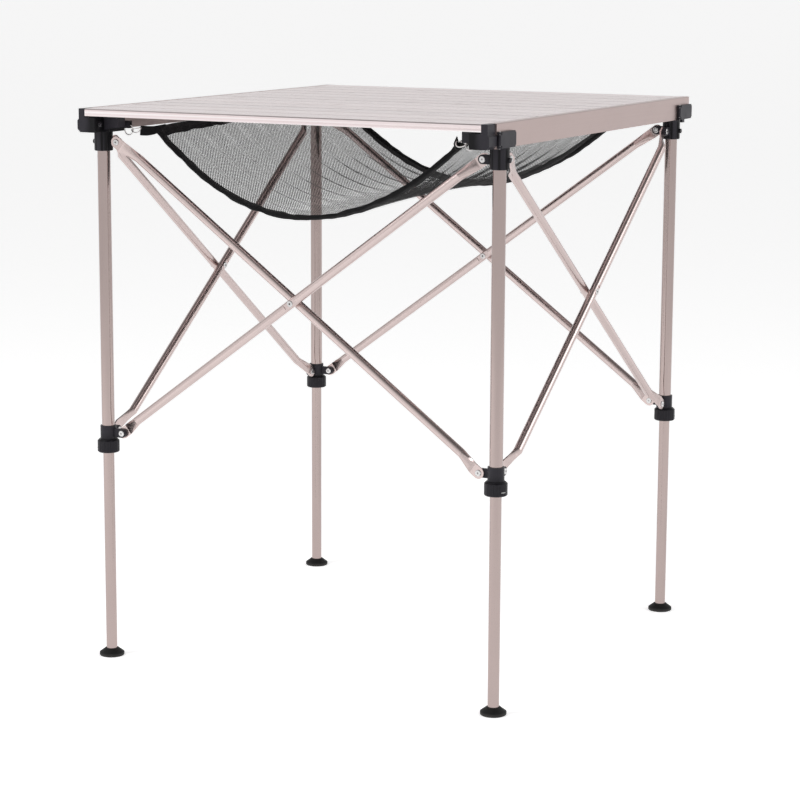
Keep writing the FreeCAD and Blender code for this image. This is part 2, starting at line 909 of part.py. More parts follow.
def rail_latch(name, side_x, side_y):
    """Flap on the rail's outer face that swings outward about an upright pin."""
    body = new_body(f"rail_latch_{name}")
    place(body, latch_pin_x(side_x), latch_pin_y(side_y))
    bottom, low, high, top = latch_levels()
    gap = size("latch_knuckle_gap")
    radius = size("latch_knuckle_radius")
    length = size("latch_length")
    corner = size("latch_corner")
    half = size("latch_thickness") / 2
    knuckle = new_sketch(body, "XY_Plane", low + gap)
    circle(knuckle, ZERO, ZERO, radius)
    pad(body, knuckle, high - low - gap * 2)
    start = radius + gap * 2

    def draw_flap(sketch):
        outline(
            sketch,
            (
                (ZERO, low + gap),
                (start, low + gap),
                (start, bottom),
                (length - corner, bottom),
                (length, bottom + corner),
                (length, top - corner),
                (length - corner, top),
                (start, top),
                (start, high - gap),
                (ZERO, high - gap),
            ),
        )

    def draw_tongue(sketch):
        leg = size("leg_half_spacing") * side_y - latch_pin_y(side_y)
        tongue = leg + size("latch_tongue_start")
        tip = bottom - size("latch_tongue_drop")
        rectangle(sketch, tongue, tongue + size("latch_tongue_length"), tip, bottom + corner)

    spread(body, "YZ_Plane", half, draw_flap)
    if side_y > 0:
        spread(body, "YZ_Plane", half, draw_tongue)
    hole = new_sketch(body, "XY_Plane", top * 2)
    circle(hole, ZERO, ZERO, size("latch_pin_radius") + size("running_gap"))
    pocket(body, hole)


def latch_hinges():
    """Fixed knuckles on the rails that carry the four latch pins."""
    body = new_body("latch_hinges")
    bottom, low, high, top = latch_levels()
    radius = size("latch_knuckle_radius")
    plate = size("latch_plate_thickness")
    face = size("top_half_width") + size("seat_gap")
    bore = size("latch_pin_radius") + size("seat_gap")
    for start, end in ((bottom, low), (high, top)):
        knuckles = new_sketch(body, "XY_Plane", start)
        for _, side_x, side_y in CORNERS:
            circle(knuckles, latch_pin_x(side_x), latch_pin_y(side_y), radius)
        pad(body, knuckles, end - start)
    plates = new_sketch(body, "XY_Plane", bottom)
    for _, side_x, side_y in CORNERS:
        low_x, high_x = sorted((face * side_x, (face + plate) * side_x), key=lambda e: e.value)
        middle = latch_pin_y(side_y)
        rectangle(plates, low_x, high_x, middle - radius, middle + radius)
    pad(body, plates, top - bottom)
    for start, end in ((bottom, low), (high, top)):
        webs = new_sketch(body, "XY_Plane", start)
        for _, side_x, side_y in CORNERS:
            low_x, high_x = sorted((face * side_x, latch_pin_x(side_x)), key=lambda e: e.value)
            middle = latch_pin_y(side_y)
            rectangle(webs, low_x, high_x, middle - radius, middle)
        pad(body, webs, end - start)
    holes = new_sketch(body, "XY_Plane", top * 2)
    for _, side_x, side_y in CORNERS:
        circle(holes, latch_pin_x(side_x), latch_pin_y(side_y), bore)
    pocket(body, holes)


def latch_pins():
    body = new_body("latch_pins")
    bottom, _, _, top = latch_levels()
    gap = size("latch_knuckle_gap")
    sketch = new_sketch(body, "XY_Plane", bottom - gap)
    for _, side_x, side_y in CORNERS:
        circle(sketch, latch_pin_x(side_x), latch_pin_y(side_y), size("latch_pin_radius"))
    pad(body, sketch, top - bottom + gap * 3)


def mesh_sling():
    """Storage sling under the slats, as a plain trough that hangs between the two sides."""
    body = new_body("mesh_sling")
    half_width = size("sling_half_width")
    edge = size("sling_edge_height")
    upper = []
    lower = []
    for k in range(SLING_STEPS + 1):
        share = 2 * k / SLING_STEPS - 1
        across = half_width * share
        height = edge - size("sling_sag") * (1 - share * share)
        upper.append((across, height))
        lower.append((across, height - size("sling_thickness")))
    sketch = new_sketch(body, "XZ_Plane", -size("sling_half_depth"))
    outline(sketch, upper + lower[::-1])
    pad(body, sketch, size("sling_half_depth") * 2)


def save_nodes():
    """Checks every object and writes one STEP file for each node."""
    document.recompute()
    for item in document.Objects:
        if "Invalid" in item.State or "Error" in item.State:
            raise RuntimeError(f"{item.Name} failed: {item.State}")
    os.makedirs("parts", exist_ok=True)
    for node in NODES:
        shape = node.Shape
        if shape.isNull() or not shape.isValid() or not shape.Solids:
            raise RuntimeError(f"{node.Label} has no valid solid")
        shape.exportStep(f"parts/{node.Label}.step")
        print(node.Label, len(shape.Solids), round(shape.Volume))


for corner_name, corner_x, corner_y in CORNERS:
    upper_tube(corner_name, corner_x, corner_y)
    lower_tube(corner_name, corner_x, corner_y)
    foot(corner_name, corner_x, corner_y)
    top_bracket(corner_name, corner_x, corner_y)
    lower_hub(corner_name, corner_x, corner_y)
    lock_collar(corner_name, corner_x, corner_y)
    rivets(f"bracket_rivets_{corner_name}", corner_x, corner_y, size("top_pivot_height"))
    rivets(f"hub_rivets_{corner_name}", corner_x, corner_y, size("low_pivot_height"))
    sling_ring(corner_name, corner_x, corner_y)
    rail_latch(corner_name, corner_x, corner_y)
for face_name, face_outward in FACES:
    brace(f"brace_{face_name}_rising_left", face_outward, True)
    brace(f"brace_{face_name}_rising_right", face_outward, False)
    crossing_rivet(f"crossing_rivet_{face_name}", face_outward)
slats()
slat_cords()
side_rails()
rail_end_caps()
end_cap_screws()
latch_hinges()
latch_pins()
mesh_sling()
save_nodes()
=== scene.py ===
"""Looks for the folding side table: finishes for every CAD piece, the mesh sling, and the studio."""
import math

import bmesh
import bpy
from mathutils import Matrix, Quaternion, Vector, noise


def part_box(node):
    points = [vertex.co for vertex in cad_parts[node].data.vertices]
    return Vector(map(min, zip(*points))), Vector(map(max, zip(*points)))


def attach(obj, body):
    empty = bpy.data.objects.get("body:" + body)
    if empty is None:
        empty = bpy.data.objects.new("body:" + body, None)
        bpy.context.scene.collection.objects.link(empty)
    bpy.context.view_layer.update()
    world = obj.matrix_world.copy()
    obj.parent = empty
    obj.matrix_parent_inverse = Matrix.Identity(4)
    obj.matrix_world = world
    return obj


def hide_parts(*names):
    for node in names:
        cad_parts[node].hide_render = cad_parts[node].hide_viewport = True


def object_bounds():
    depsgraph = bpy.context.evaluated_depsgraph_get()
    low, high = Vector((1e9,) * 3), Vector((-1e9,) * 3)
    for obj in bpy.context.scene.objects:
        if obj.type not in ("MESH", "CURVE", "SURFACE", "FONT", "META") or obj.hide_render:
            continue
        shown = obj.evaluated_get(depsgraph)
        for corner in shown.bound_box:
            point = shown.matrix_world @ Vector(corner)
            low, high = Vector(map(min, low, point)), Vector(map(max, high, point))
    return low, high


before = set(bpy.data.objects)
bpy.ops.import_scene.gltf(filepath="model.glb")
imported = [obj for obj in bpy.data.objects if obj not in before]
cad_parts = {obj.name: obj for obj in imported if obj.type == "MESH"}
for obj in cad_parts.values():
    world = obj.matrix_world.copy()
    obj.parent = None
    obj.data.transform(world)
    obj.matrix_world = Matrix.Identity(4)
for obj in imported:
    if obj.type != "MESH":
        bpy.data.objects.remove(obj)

cad_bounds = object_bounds()


def middle_and_half(node):
    """The middle of a CAD node's box, and half of its size."""
    low, high = (Vector(corner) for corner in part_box(node))
    return (low + high) / 2, (high - low) / 2


# Places read from the CAD, in metres: +X along the slats, +Y from front to back, +Z up. The table
# is the same on both sides of its middle, so one corner's boxes serve all four.
LEG_MIDDLE = middle_and_half("upper_tube_back_right")[0]
RING_MIDDLE, RING_HALF = middle_and_half("sling_ring_back_right")
COLLAR_MIDDLE, COLLAR_HALF = middle_and_half("lock_collar_back_right")
LEG_HALF_SPACING = LEG_MIDDLE.x
TOP_HALF_DEPTH = cad_bounds[1][1]
TOP_HEIGHT = cad_bounds[1][2]
SLAT_COUNT = 12
SLAT_PITCH = 2 * TOP_HALF_DEPTH / SLAT_COUNT
CORNERS = {
    "front_left": (-1, -1),
    "front_right": (1, -1),
    "back_right": (1, 1),
    "back_left": (-1, 1),
}

# The sling hangs between its two side hems, which aren't quite parallel: each is given at the
# front and at the back. The cloth is longer both ways than the gap that it spans.
SLING_LEFT = (-0.204, -0.218)
SLING_RIGHT = (0.218, 0.202)
SLING_HALF_DEPTH = 0.260
SLING_HEM_HEIGHT = 0.676
SLING_HEM_RISE = 0.007
SLING_FLAT = (0.490, 0.582)
SLING_START_SAG = 0.100
CELLS_ACROSS = 72
CELLS_ALONG = 84
RIPPLE_HEIGHT = 0.004
RIPPLE_COUNT = 11
RIPPLE_LEAN = 3
HANG_FRAMES = 48
HEM_CELLS = 2
FRONT_HEM_THICKNESS = 0.0060
BACK_HEM_THICKNESS = 0.0095
SIDE_HEM_THICKNESS = 0.0046
HEM_LUMPS = 0.0015
LUMPS_PER_METRE = 70
MESH_THICKNESS = 0.0008
MESH_PITCH = (0.0030, 0.0042)
MESH_HOLE_RADIUS = 0.00111

# Corner straps, hooks and rings.
RING_X = RING_MIDDLE.x
RING_HEIGHT = RING_MIDDLE.z
RING_WIRE = 0.0008
RING_RADIUS = RING_HALF.x - RING_WIRE
HOOK_REACH = 0.0105
HOOK_WIRE = 0.0007
STRAP_WIDTH = 0.012
STRAP_THICKNESS = 0.0020
STRAP_STEPS = 6
STRAP_DIP = 0.002
STRAP_TURN = 82
STRAP_UNTWIST = 40

# Bends of the wire hook: at its ring end (0) or strap end (1), then how far past it, across and up.
HOOK_BENDS = (
    (0, -0.002, 0.0, 0.0015),
    (0, 0.0, 0.003, 0.001),
    (1, 0.0, 0.0045, 0.0035),
    (1, 0.002, 0.0, 0.004),
    (1, 0.0, -0.0045, -0.0035),
    (0, 0.0, -0.003, -0.002),
)

# Twist-lock collars, with a moulded index mark on each.
COLLAR_RADIUS = COLLAR_HALF.x
MARK_DROP = 0.0032
MARK_HEIGHT = COLLAR_MIDDLE.z - MARK_DROP
MARK_TALL = 0.0012
MARK_SWEEP = math.radians(24)
MARK_TURN = math.radians(20)
MARK_STEPS = 8
MARK_PROUD = 0.00015

# Camera, fitted to the legs, braces and top.
CAMERA_PLACE = Vector((1.468, -2.850, 0.895))
CAMERA_HEADING = 117.17
CAMERA_TILT = -10.30
CAMERA_ROLL = 0.27
CAMERA_LENS = 112.1
CAMERA_SENSOR = 36

# The floor, the fall of the sky's light from the horizon upwards, and the two soft lights: name,
# place, size and power.
FLOOR_REACH = 60
FLOOR_GLOW = 0.50
SKY_FALL = (("From Min", 0.25), ("From Max", 0.80), ("To Min", 1.0), ("To Max", 0.18))
SOFT_LIGHTS = (
    ("key_light", (-1.4, -1.8, 2.2), 1.0, 28),
    ("fill_light", (2.2, 0.6, 1.8), 1.4, 14),
)

# The tubes, braces, slats and rails are one champagne anodised aluminium at four brightnesses: the tube and
# rail colours are darkened as painted shade, the brace and slat colours are paler as painted light.
TUBE_CHAMPAGNE_PAINTED_SHADE = (0.384, 0.312, 0.2976)
BRACE_CHAMPAGNE_PAINTED_LIGHT = (0.56, 0.465, 0.450)
SLAT_CHAMPAGNE_PAINTED_LIGHT = (0.86, 0.745, 0.745)
RAIL_CHAMPAGNE_PAINTED_SHADE = (0.44, 0.35, 0.335)
NYLON_BLACK = (0.0045, 0.0042, 0.0052)
RUBBER_BLACK = (0.006, 0.006, 0.006)
THREAD_BLACK = (0.004, 0.004, 0.0045)
STEEL_GREY = (0.66, 0.65, 0.65)
MARK_GREY = (0.42, 0.42, 0.42)
DUST_GREY = (0.16, 0.15, 0.14)
PAPER_WHITE = (0.93, 0.93, 0.93)


class Finish:
    """A material under construction: adds nodes and joins them with few words."""

    def __init__(self, name, colour, metallic=0.0, roughness=0.5, shine=0.5):
        self.material = bpy.data.materials.new(name)
        self.material.use_nodes = True
        self.tree = self.material.node_tree
        self.shader = self.tree.nodes["Principled BSDF"]
        self.output = self.tree.nodes["Material Output"]
        self.shader.inputs["Base Color"].default_value = (*colour, 1)
        self.shader.inputs["Metallic"].default_value = metallic
        self.shader.inputs["Roughness"].default_value = roughness
        self.shader.inputs["Specular IOR Level"].default_value = shine

    def node(self, kind, **settings):
        made = self.tree.nodes.new(kind)
        for key, value in settings.items():
            setattr(made, key, value)
        return made

    def join(self, source, target):
        self.tree.links.new(source, target)

    def place(self, stretch=(1, 1, 1)):
        """Rest-frame coordinates in metres, stretched along each axis."""
        coordinates = self.node("ShaderNodeTexCoord")
        mapping = self.node("ShaderNodeMapping")
        mapping.inputs["Scale"].default_value = stretch
        self.join(coordinates.outputs["Object"], mapping.inputs["Vector"])
        return mapping.outputs["Vector"]

    def axis(self, name):
        """One rest-frame coordinate in metres."""
        split = self.node("ShaderNodeSeparateXYZ")
        self.join(self.place(), split.inputs["Vector"])
        return split.outputs[name]

    def noise(self, scale, detail=3.0, stretch=(1, 1, 1)):
        made = self.node("ShaderNodeTexNoise")
        made.inputs["Scale"].default_value = scale
        made.inputs["Detail"].default_value = detail
        self.join(self.place(stretch), made.inputs["Vector"])
        return made.outputs["Fac"]

    def remap(self, value, low, high, new_low, new_high):
        made = self.node("ShaderNodeMapRange")
        for name, amount in (
            ("From Min", low),
            ("From Max", high),
            ("To Min", new_low),
            ("To Max", new_high),
        ):
            made.inputs[name].default_value = amount
        self.join(value, made.inputs["Value"])
        return made.outputs["Result"]

    def maths(self, operation, first, second=None):
        made = self.node("ShaderNodeMath", operation=operation)
        for socket, value in zip(made.inputs, (first, second)):
            if isinstance(value, (int, float)):
                socket.default_value = value
            elif value is not None:
                self.join(value, socket)
        return made.outputs["Value"]

    def tint(self, share, other):
        """Blends the base colour towards another by a share from a texture."""
        made = self.node("ShaderNodeMix", data_type="RGBA")
        base = self.shader.inputs["Base Color"]
        if base.is_linked:
            self.join(base.links[0].from_socket, made.inputs["A"])
        else:
            made.inputs["A"].default_value = base.default_value
        made.inputs["B"].default_value = (*other, 1)
        self.join(share, made.inputs["Factor"])
        self.join(made.outputs["Result"], base)

    def roughen(self, value):
        self.join(value, self.shader.inputs["Roughness"])

    def bump(self, height, strength, distance):
        made = self.node("ShaderNodeBump")
        made.inputs["Strength"].default_value = strength
        made.inputs["Distance"].default_value = distance
        normal = self.shader.inputs["Normal"]
        if normal.is_linked:
            self.join(normal.links[0].from_socket, made.inputs["Normal"])
        self.join(height, made.inputs["Height"])
        self.join(made.outputs["Normal"], normal)

    def edge_wear(self, other, amount):
        """Rubs the outer edges towards another colour."""
        sharp = self.node("ShaderNodeNewGeometry").outputs["Pointiness"]
        self.tint(self.remap(sharp, 0.52, 0.60, 0.0, amount), other)


def scaled(colour, factor):
    return tuple(min(1.0, part * factor) for part in colour)


def anodised(name, colour, stretch, roughness=0.12, grain_depth=0.02):
    """Satin anodised aluminium: drawn grain, faint cloudiness, rubbed scratches and pale edges."""
    finish = Finish(name, colour, metallic=1.0, roughness=roughness)
    clouds = finish.noise(14, detail=4)
    finish.tint(finish.remap(clouds, 0.35, 0.7, 0.0, 0.4), scaled(colour, 0.84))
    grain = finish.noise(900, detail=2, stretch=stretch)
    scuffs = finish.noise(55, detail=8)
    worn = finish.remap(scuffs, 0.60, 0.72, 0.0, 0.04)
    base = finish.remap(grain, 0.3, 0.7, roughness - 0.03, roughness + 0.03)
    finish.roughen(finish.maths("ADD", base, worn))
    finish.bump(grain, grain_depth, 0.0002)
    finish.edge_wear(scaled(colour, 1.25), 0.5)
    return finish.material


def slat_finish():
    """Anodised slats in a paler colour that is painted light: lengthwise drawing lines, a tone for each
    slat and painted shade in the gaps.
    """
    finish = Finish("slat_anodised", SLAT_CHAMPAGNE_PAINTED_LIGHT, metallic=0.9, roughness=0.30)
    slats = finish.maths("DIVIDE", finish.maths("ADD", finish.axis("Y"), TOP_HALF_DEPTH), SLAT_PITCH)
    tone = finish.node("ShaderNodeTexWhiteNoise", noise_dimensions="1D")
    finish.join(finish.maths("FLOOR", slats), tone.inputs["W"])
    finish.tint(finish.maths("MULTIPLY", tone.outputs["Value"], 0.45), scaled(SLAT_CHAMPAGNE_PAINTED_LIGHT, 0.80))
    lines = finish.noise(330, detail=4, stretch=(0.002, 1, 1))
    finish.tint(finish.remap(lines, 0.50, 0.66, 0.0, 0.70), scaled(SLAT_CHAMPAGNE_PAINTED_LIGHT, 1.35))
    finish.tint(finish.remap(lines, 0.46, 0.34, 0.0, 0.60), scaled(SLAT_CHAMPAGNE_PAINTED_LIGHT, 0.60))
    # Painted shade: each slat darkens towards the gaps between the slats.
    edge = finish.maths("ABSOLUTE", finish.maths("SUBTRACT", finish.maths("FRACT", slats), 0.5))
    inside = finish.maths("LESS_THAN", finish.maths("ABSOLUTE", finish.axis("Y")), TOP_HALF_DEPTH - 0.002)
    gap_painted_shade = finish.maths("MULTIPLY", finish.remap(edge, 0.474, 0.490, 0.0, 0.85), inside)
    finish.tint(gap_painted_shade, scaled(SLAT_CHAMPAGNE_PAINTED_LIGHT, 0.25))
    scuffs = finish.noise(30, detail=9)
    worn = finish.remap(scuffs, 0.58, 0.72, 0.0, 0.12)
    finish.roughen(finish.maths("ADD", finish.remap(lines, 0.3, 0.7, 0.22, 0.38), worn))
    finish.bump(lines, 0.25, 0.0003)
    return finish.material


def nylon():
    """Glass-filled nylon: satin black with a fine moulded grain and paler rubbed edges."""
    finish = Finish("moulded_nylon", NYLON_BLACK, roughness=0.36, shine=0.15)
    grain = finish.noise(1600, detail=3)
    patches = finish.noise(35, detail=5)
    finish.tint(finish.remap(patches, 0.4, 0.75, 0.0, 0.6), scaled(NYLON_BLACK, 2.0))
    finish.roughen(finish.remap(patches, 0.3, 0.7, 0.28, 0.46))
    finish.bump(grain, 0.22, 0.0003)
    finish.edge_wear(scaled(NYLON_BLACK, 9), 0.6)
    return finish.material


def rubber():
    """Dull black rubber with dust near the floor."""
    finish = Finish("foot_rubber", RUBBER_BLACK, roughness=0.6, shine=0.25)
    grain = finish.noise(900, detail=4)
    low = finish.remap(finish.axis("Z"), 0.0, 0.005, 0.4, 0.0)
    finish.tint(finish.maths("MULTIPLY", low, finish.noise(120, detail=6)), DUST_GREY)
    finish.roughen(finish.remap(grain, 0.3, 0.7, 0.5, 0.72))
    finish.bump(grain, 0.3, 0.0003)
    return finish.material


def plated_steel():
    """Bright plated rivets, rings and pins with fine scratches."""
    finish = Finish("plated_steel", STEEL_GREY, metallic=1.0, roughness=0.20)
    scratches = finish.noise(500, detail=6, stretch=(1, 1, 4))
    finish.roughen(finish.remap(scratches, 0.35, 0.7, 0.12, 0.36))
    finish.tint(finish.remap(scratches, 0.55, 0.75, 0.0, 0.6), scaled(STEEL_GREY, 0.5))
    finish.bump(scratches, 0.08, 0.0001)
    return finish.material


def braid(name, colour, pitch):
    """Black cord or webbing: two diagonal ribs that cross, with a little fluff."""
    finish = Finish(name, colour, roughness=0.8, shine=0.15)
    ribs = []
    for flip in (1, -1):
        wave = finish.node("ShaderNodeTexWave", wave_type="BANDS", bands_direction="DIAGONAL")
        wave.inputs["Scale"].default_value = 1 / pitch
        wave.inputs["Distortion"].default_value = 0.6
        finish.join(finish.place((flip, 1, flip)), wave.inputs["Vector"])
        ribs.append(wave.outputs["Fac"])
    weave = finish.maths("MULTIPLY", *ribs)
    finish.tint(finish.remap(weave, 0.0, 1.0, 0.0, 0.6), scaled(colour, 3))
    finish.shader.inputs["Sheen Weight"].default_value = 0.05
    finish.bump(weave, 0.6, 0.0006)
    return finish.material


def open_mesh():
    """Knitted mesh: staggered round holes between black threads, laid out on the flat cloth."""
    finish = Finish("knitted_mesh", THREAD_BLACK, roughness=0.7, shine=0.2)
    flat = finish.node("ShaderNodeUVMap", uv_map="flat")
    split = finish.node("ShaderNodeSeparateXYZ")
    finish.join(flat.outputs["UV"], split.inputs["Vector"])
    distances = []
    for offset in (0.0, 0.5):
        squares = []
        for axis, pitch in zip("XY", MESH_PITCH):
            cell = finish.maths("DIVIDE", split.outputs[axis], pitch)
            share = finish.maths("FRACT", finish.maths("ADD", cell, offset))
            reach = finish.maths("MULTIPLY", finish.maths("SUBTRACT", share, 0.5), pitch)
            squares.append(finish.maths("MULTIPLY", reach, reach))
        distances.append(finish.maths("SQRT", finish.maths("ADD", *squares)))
    nearest = finish.maths("MINIMUM", *distances)
    hole = finish.maths("LESS_THAN", nearest, MESH_HOLE_RADIUS)
    finish.bump(finish.remap(nearest, MESH_HOLE_RADIUS, MESH_PITCH[0] / 2, 0.0, 1.0), 0.5, 0.0004)
    finish.shader.inputs["Sheen Weight"].default_value = 0.05
    clear = finish.node("ShaderNodeBsdfTransparent")
    blend = finish.node("ShaderNodeMixShader")
    finish.join(hole, blend.inputs["Fac"])
    finish.join(finish.shader.outputs["BSDF"], blend.inputs[1])
    finish.join(clear.outputs["BSDF"], blend.inputs[2])
    finish.join(blend.outputs["Shader"], finish.output.inputs["Surface"])
    return finish.material


def mark_paint():
    """Pale printed mark with worn patches."""
    finish = Finish("mark_paint", MARK_GREY, roughness=0.5)
    finish.tint(finish.remap(finish.noise(900, detail=4), 0.5, 0.7, 0.0, 0.7), NYLON_BLACK)
    return finish.material


FINISHES = {
    # Tube and rail colours are darkened as painted shade, the brace colour is paler as painted light.
    "tube": anodised("tube_anodised", TUBE_CHAMPAGNE_PAINTED_SHADE, (1, 1, 0.01)),
    "brace": anodised("brace_anodised", BRACE_CHAMPAGNE_PAINTED_LIGHT, (3, 3, 3), 0.24, grain_depth=0.01),
    "rail": anodised("rail_anodised", RAIL_CHAMPAGNE_PAINTED_SHADE, (1, 0.01, 1), roughness=0.34),
    "slat": slat_finish(),
    "nylon": nylon(),
    "rubber": rubber(),
    "steel": plated_steel(),
    "cord": braid("elastic_cord", RUBBER_BLACK, 0.002),
    "webbing": braid("webbing", THREAD_BLACK, 0.0016),
    "mesh": open_mesh(),
    "mark": mark_paint(),
}
FINISH_OF_NODE = (
    ("upper_tube", "tube"),
    ("lower_tube", "tube"),
    ("brace_", "brace"),
    ("side_rails", "rail"),
    ("slat_cords", "cord"),
    ("slats", "slat"),
    ("foot_", "rubber"),
    ("bracket_rivets", "steel"),
    ("hub_rivets", "steel"),
    ("crossing_rivet", "steel"),
    ("sling_ring", "steel"),
    ("end_cap_screws", "steel"),
    ("latch_pins", "steel"),
)


def paint(thing, finish):
    thing.data.materials.clear()
    thing.data.materials.append(FINISHES[finish])


def paint_cad_nodes():
    """Gives every CAD node its finish; what isn't listed is moulded nylon."""
    for name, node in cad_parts.items():
        finish = next((finish for prefix, finish in FINISH_OF_NODE if name.startswith(prefix)), "nylon")
        paint(node, finish)


def new_piece(name, vertices, faces, finish=None):
    mesh = bpy.data.meshes.new(name)
    mesh.from_pydata(vertices, [], faces)
    mesh.validate()
    piece = bpy.data.objects.new(name, mesh)
    bpy.context.scene.collection.objects.link(piece)
    if finish:
        paint(piece, finish)
    mesh.shade_smooth()
    return piece


def modify(piece, kind, **settings):
    made = piece.modifiers.new(kind.lower(), kind)
    for key, value in settings.items():
        setattr(made, key, value)
    return made


def apply_modifiers(piece):
    """Replaces a piece's mesh with what its modifiers make of it."""
    bpy.context.view_layer.update()
    graph = bpy.context.evaluated_depsgraph_get()
    mesh = bpy.data.meshes.new_from_object(piece.evaluated_get(graph))
    piece.modifiers.clear()
    piece.data = mesh
    mesh.shade_smooth()


def side_place(side, share):
    """X of a side hem at a share of the way from front to back."""
    front, back = side
    return front + (back - front) * share


def cloth_point(i, j):
    """Where a point of the cloth starts: a trough, with its spare length in shallow ripples."""
    share = i / CELLS_ACROSS
    place = 2 * j / CELLS_ALONG - 1
    left, right = (side_place(side, j / CELLS_ALONG) for side in (SLING_LEFT, SLING_RIGHT))
    slope = 4 * share * (1 - share)
    wave = math.sin(RIPPLE_COUNT * math.pi * place + RIPPLE_LEAN * share)
    ripple = RIPPLE_HEIGHT * wave * math.sin(2 * math.pi * share)
    return (
        left + (right - left) * share,
        SLING_HALF_DEPTH * place,
        SLING_HEM_HEIGHT + SLING_HEM_RISE * (1 - place * place) - SLING_START_SAG * slope + ripple,
    )


def flat_point(i, j):
    """The same point on the cloth as it was cut."""
    return SLING_FLAT[0] * i / CELLS_ACROSS, SLING_FLAT[1] * j / CELLS_ALONG


def hang(piece, pinned):
    """Lets the cloth hang from its pinned sides, then keeps the shape that it takes."""
    cells = [(i, j) for j in range(CELLS_ALONG + 1) for i in range(CELLS_ACROSS + 1)]
    piece.shape_key_add(name="start")
    cut = piece.shape_key_add(name="cut")
    for point, cell in zip(cut.data, cells):
        point.co = (*flat_point(*cell), 0)
    piece.vertex_groups.new(name="held").add(pinned, 1.0, "REPLACE")
    cloth = modify(piece, "CLOTH")
    cloth.settings.rest_shape_key = cut
    cloth.settings.quality = 6
    cloth.settings.mass = 0.10
    cloth.settings.vertex_group_mass = "held"
    cloth.settings.tension_stiffness = 40
    cloth.settings.compression_stiffness = 12
    cloth.settings.shear_stiffness = 6
    cloth.settings.bending_stiffness = 0.01
    cloth.settings.air_damping = 1.5
    cloth.collision_settings.use_collision = False
    cloth.point_cache.frame_end = HANG_FRAMES
    for step in range(1, HANG_FRAMES + 1):
        bpy.context.scene.frame_set(step)
    apply_modifiers(piece)
    bpy.context.scene.frame_set(1)


def sling_sheet():
    """The mesh bag: a rectangle of cloth held along both sides and free at front and back."""
    row = CELLS_ACROSS + 1
    vertices = [cloth_point(i, j) for j in range(CELLS_ALONG + 1) for i in range(row)]
    faces = [
        (j * row + i, j * row + i + 1, (j + 1) * row + i + 1, (j + 1) * row + i)
        for j in range(CELLS_ALONG)
        for i in range(CELLS_ACROSS)
    ]
    piece = new_piece("mesh_sling_cloth", vertices, faces, "mesh")
    layer = piece.data.uv_layers.new(name="flat")
    for loop in piece.data.loops:
        j, i = divmod(loop.vertex_index, row)
        layer.data[loop.index].uv = flat_point(i, j)
    hang(piece, [j * row + i for j in range(CELLS_ALONG + 1) for i in (0, CELLS_ACROSS)])
    return piece


def hem(name, sheet, thickness, chosen):
    """A tape folded over part of the sheet's border: a thick, rounded copy of those faces."""
    row = CELLS_ACROSS + 1
    vertices = [tuple(vertex.co) for vertex in sheet.data.vertices]
    faces = [
        tuple(polygon.vertices)
        for polygon in sheet.data.polygons
        if chosen(*reversed(divmod(min(polygon.vertices), row)))
    ]
    piece = new_piece(name, vertices, faces, "webbing")
    tidy = bmesh.new()
    tidy.from_mesh(piece.data)
    bmesh.ops.delete(tidy, geom=[corner for corner in tidy.verts if not corner.link_faces], context="VERTS")
    tidy.to_mesh(piece.data)
    tidy.free()
    modify(piece, "SOLIDIFY", thickness=thickness, offset=0)
    modify(piece, "SUBSURF", levels=1, render_levels=1)
    apply_modifiers(piece)
    for vertex in piece.data.vertices:
        vertex.co += vertex.normal * noise.noise(vertex.co * LUMPS_PER_METRE) * HEM_LUMPS
    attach(piece, "tabletop")
    return piece


def wire(name, points, radius, finish, body):
    """A closed loop of bent wire that follows the points."""
    curve = bpy.data.curves.new(name, "CURVE")
    curve.dimensions = "3D"
    curve.bevel_depth = radius
    curve.bevel_resolution = 3
    spline = curve.splines.new("NURBS")
    spline.points.add(len(points) - 1)
    for point, place in zip(spline.points, points):
        point.co = (*place, 1)
    spline.order_u = 4
    spline.use_cyclic_u = True
    piece = bpy.data.objects.new(name, curve)
    bpy.context.scene.collection.objects.link(piece)
    curve.materials.append(FINISHES[finish])
    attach(piece, body)
    return piece


def corner_strap(name, side_x, side_y):
    """Webbing tab from the sling's corner to its hook, and the wire hook through the ring."""
    corner_x = (SLING_RIGHT if side_x > 0 else SLING_LEFT)[side_y > 0]
    hook_x = side_x * (RING_X - RING_RADIUS)
    strap_x = hook_x - side_x * HOOK_REACH
    ring_y = side_y * LEG_HALF_SPACING
    cloth_y = side_y * (SLING_HALF_DEPTH - STRAP_WIDTH / 2)
    vertices = []
    for k in range(STRAP_STEPS + 1):
        share = k / STRAP_STEPS
        x = strap_x + (corner_x - side_x * STRAP_WIDTH - strap_x) * share
        y = ring_y + (cloth_y - ring_y) * share
        z = RING_HEIGHT + (SLING_HEM_HEIGHT - RING_HEIGHT) * share
        z -= STRAP_DIP * math.sin(math.pi * share)
        turn = math.radians(STRAP_TURN - STRAP_UNTWIST * share)
        across = Vector((0, math.cos(turn), math.sin(turn))) * STRAP_WIDTH / 2
        vertices += [tuple(Vector((x, y, z)) - across), (x, y, z), tuple(Vector((x, y, z)) + across)]
    faces = [
        (3 * k + side, 3 * k + side + 1, 3 * k + side + 4, 3 * k + side + 3)
        for k in range(STRAP_STEPS)
        for side in (0, 1)
    ]
    strap = new_piece(f"sling_strap_{name}", vertices, faces, "webbing")
    modify(strap, "SOLIDIFY", thickness=STRAP_THICKNESS, offset=0)
    modify(strap, "BEVEL", width=STRAP_THICKNESS / 4, segments=2)
    apply_modifiers(strap)
    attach(strap, "tabletop")
    ends = (hook_x, strap_x)
    loop = [
        (ends[end] - side_x * past, ring_y + across, RING_HEIGHT + up)
        for end, past, across, up in HOOK_BENDS
    ]
    return [strap, wire(f"sling_hook_{name}", loop, HOOK_WIRE, "steel", "tabletop")]


